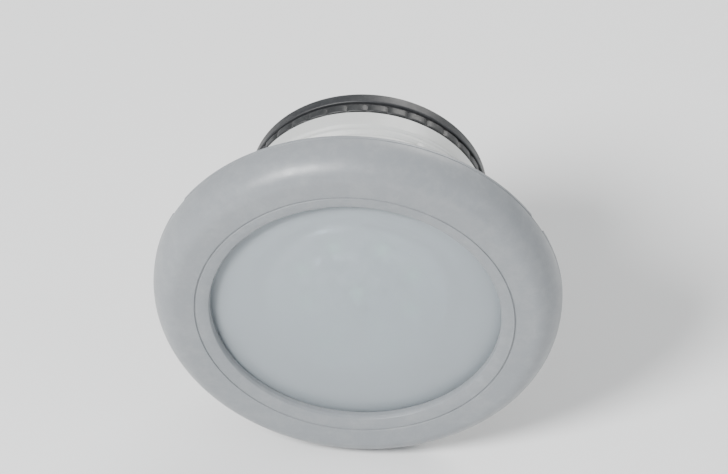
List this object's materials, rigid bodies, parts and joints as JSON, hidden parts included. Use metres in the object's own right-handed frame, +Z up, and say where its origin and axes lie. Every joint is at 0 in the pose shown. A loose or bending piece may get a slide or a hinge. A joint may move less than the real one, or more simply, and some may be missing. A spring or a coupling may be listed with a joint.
{
  "type": "underwater spa light",
  "caption": "Round grey underwater light for a spa shell: frosted lens in a twist-off trim ring, flanged wall fitting with lock nut, and a sealed bayonet lamp with cable gland.",
  "frame": {"origin": "on the light's axis, on the wet face of the spa's shell, where the flange gasket seats", "axes": "+Y along the light's axis, from the water into the shell; the face looks along -Y, and +Z is up"},
  "size_m": [0.165, 0.1035, 0.165],
  "materials": {
    "trim_grey": "smooth, lightly satin",
    "fitting_white": "satin moulded",
    "rubber_black": "matt",
    "silicone_grey": "matt",
    "lens_frosted": "frosted polycarbonate",
    "stainless_steel": "turned",
    "washer_black": "slick",
    "casing_black": "fine spark-eroded texture",
    "heat_sink_aluminium": "sawn and washed extrusion",
    "led_board_white": "white solder mask",
    "led_green": "clear dome, lit",
    "reflector_bright": "vacuum metallised",
    "standoff_brass": "nickel-free brass, machined",
    "board_green": "green solder mask",
    "terminal_green": "moulded",
    "capacitor_black": "sleeved",
    "ferrite_grey": "sintered",
    "wire_red": "PVC insulation",
    "wire_black": "PVC insulation"
  },
  "bodies": {
    "fitting": {"wall_fitting": "fitting_white", "flange_gasket": "rubber_black", "lens_gasket": "silicone_grey", "lens": "lens_frosted", "lens_clamp_ring": "stainless_steel", "clamp_screw_1": "stainless_steel", "clamp_screw_2": "stainless_steel", "clamp_screw_3": "stainless_steel", "clamp_screw_4": "stainless_steel", "clamp_screw_5": "stainless_steel", "clamp_screw_6": "stainless_steel"},
    "trim": {"trim_ring": "trim_grey"},
    "washer": {"slip_washer": "washer_black"},
    "nut": {"lock_nut": "fitting_white"},
    "lamp": {"lamp_cup": "casing_black", "lamp_o_ring": "rubber_black", "heat_sink": "heat_sink_aluminium", "thermal_pad": "silicone_grey", "led_board": "led_board_white", "led_1": "led_green", "led_2": "led_green", "led_3": "led_green", "led_4": "led_green", "led_5": "led_green", "led_6": "led_green", "led_7": "led_green", "led_8": "led_green", "led_9": "led_green", "reflector": "reflector_bright", "reflector_screw_1": "stainless_steel", "reflector_screw_2": "stainless_steel", "reflector_screw_3": "stainless_steel", "standoff_1": "standoff_brass", "standoff_2": "standoff_brass", "standoff_3": "standoff_brass", "driver_board": "board_green", "driver_screw_1": "stainless_steel", "driver_screw_2": "stainless_steel", "driver_screw_3": "stainless_steel", "capacitor": "capacitor_black", "inductor": "ferrite_grey", "driver_chip": "capacitor_black", "terminal_block": "terminal_green", "lead_red": "wire_red", "lead_black": "wire_black", "cover_gasket": "rubber_black", "rear_cover": "casing_black", "cover_screw_1": "stainless_steel", "cover_screw_2": "stainless_steel", "cover_screw_3": "stainless_steel", "cover_screw_4": "stainless_steel", "gland_washer": "rubber_black", "gland_body": "casing_black", "gland_locknut": "casing_black", "gland_seal": "rubber_black"},
    "claw": {"gland_claw": "casing_black"},
    "cap": {"gland_cap": "casing_black"}
  },
  "joints": [
    {"name": "trim_turn", "type": "hinge", "parent": "fitting", "child": "trim", "pos_m": [0, 0, 0], "axis": [0, -1, 0], "range_deg": [0, 25]},
    {"name": "washer_slide", "type": "slide", "parent": "fitting", "child": "washer", "axis": [0, 1, 0], "range_m": [-0.004, 0.018]},
    {"name": "nut_spin", "type": "hinge", "parent": "washer", "child": "nut", "pos_m": [0, 0.0103, 0], "axis": [0, 1, 0], "range_deg": [-360, 1620]},
    {"name": "lamp_turn", "type": "hinge", "parent": "fitting", "child": "lamp", "pos_m": [0, 0, 0], "axis": [0, 1, 0], "range_deg": [0, 40]},
    {"name": "claw_slide", "type": "slide", "parent": "lamp", "child": "claw", "axis": [0, 1, 0], "range_m": [0, 0.0045]},
    {"name": "cap_spin", "type": "hinge", "parent": "claw", "child": "cap", "pos_m": [0, 0.08, 0], "axis": [0, 1, 0], "range_deg": [0, 1080]}
  ],
  "couplings": [
    {"joint": "washer_slide", "follows": "nut_spin", "m_per_rad": 0.00063662},
    {"joint": "cap_spin", "follows": "claw_slide", "rad_per_m": 4188.8}
  ]
}
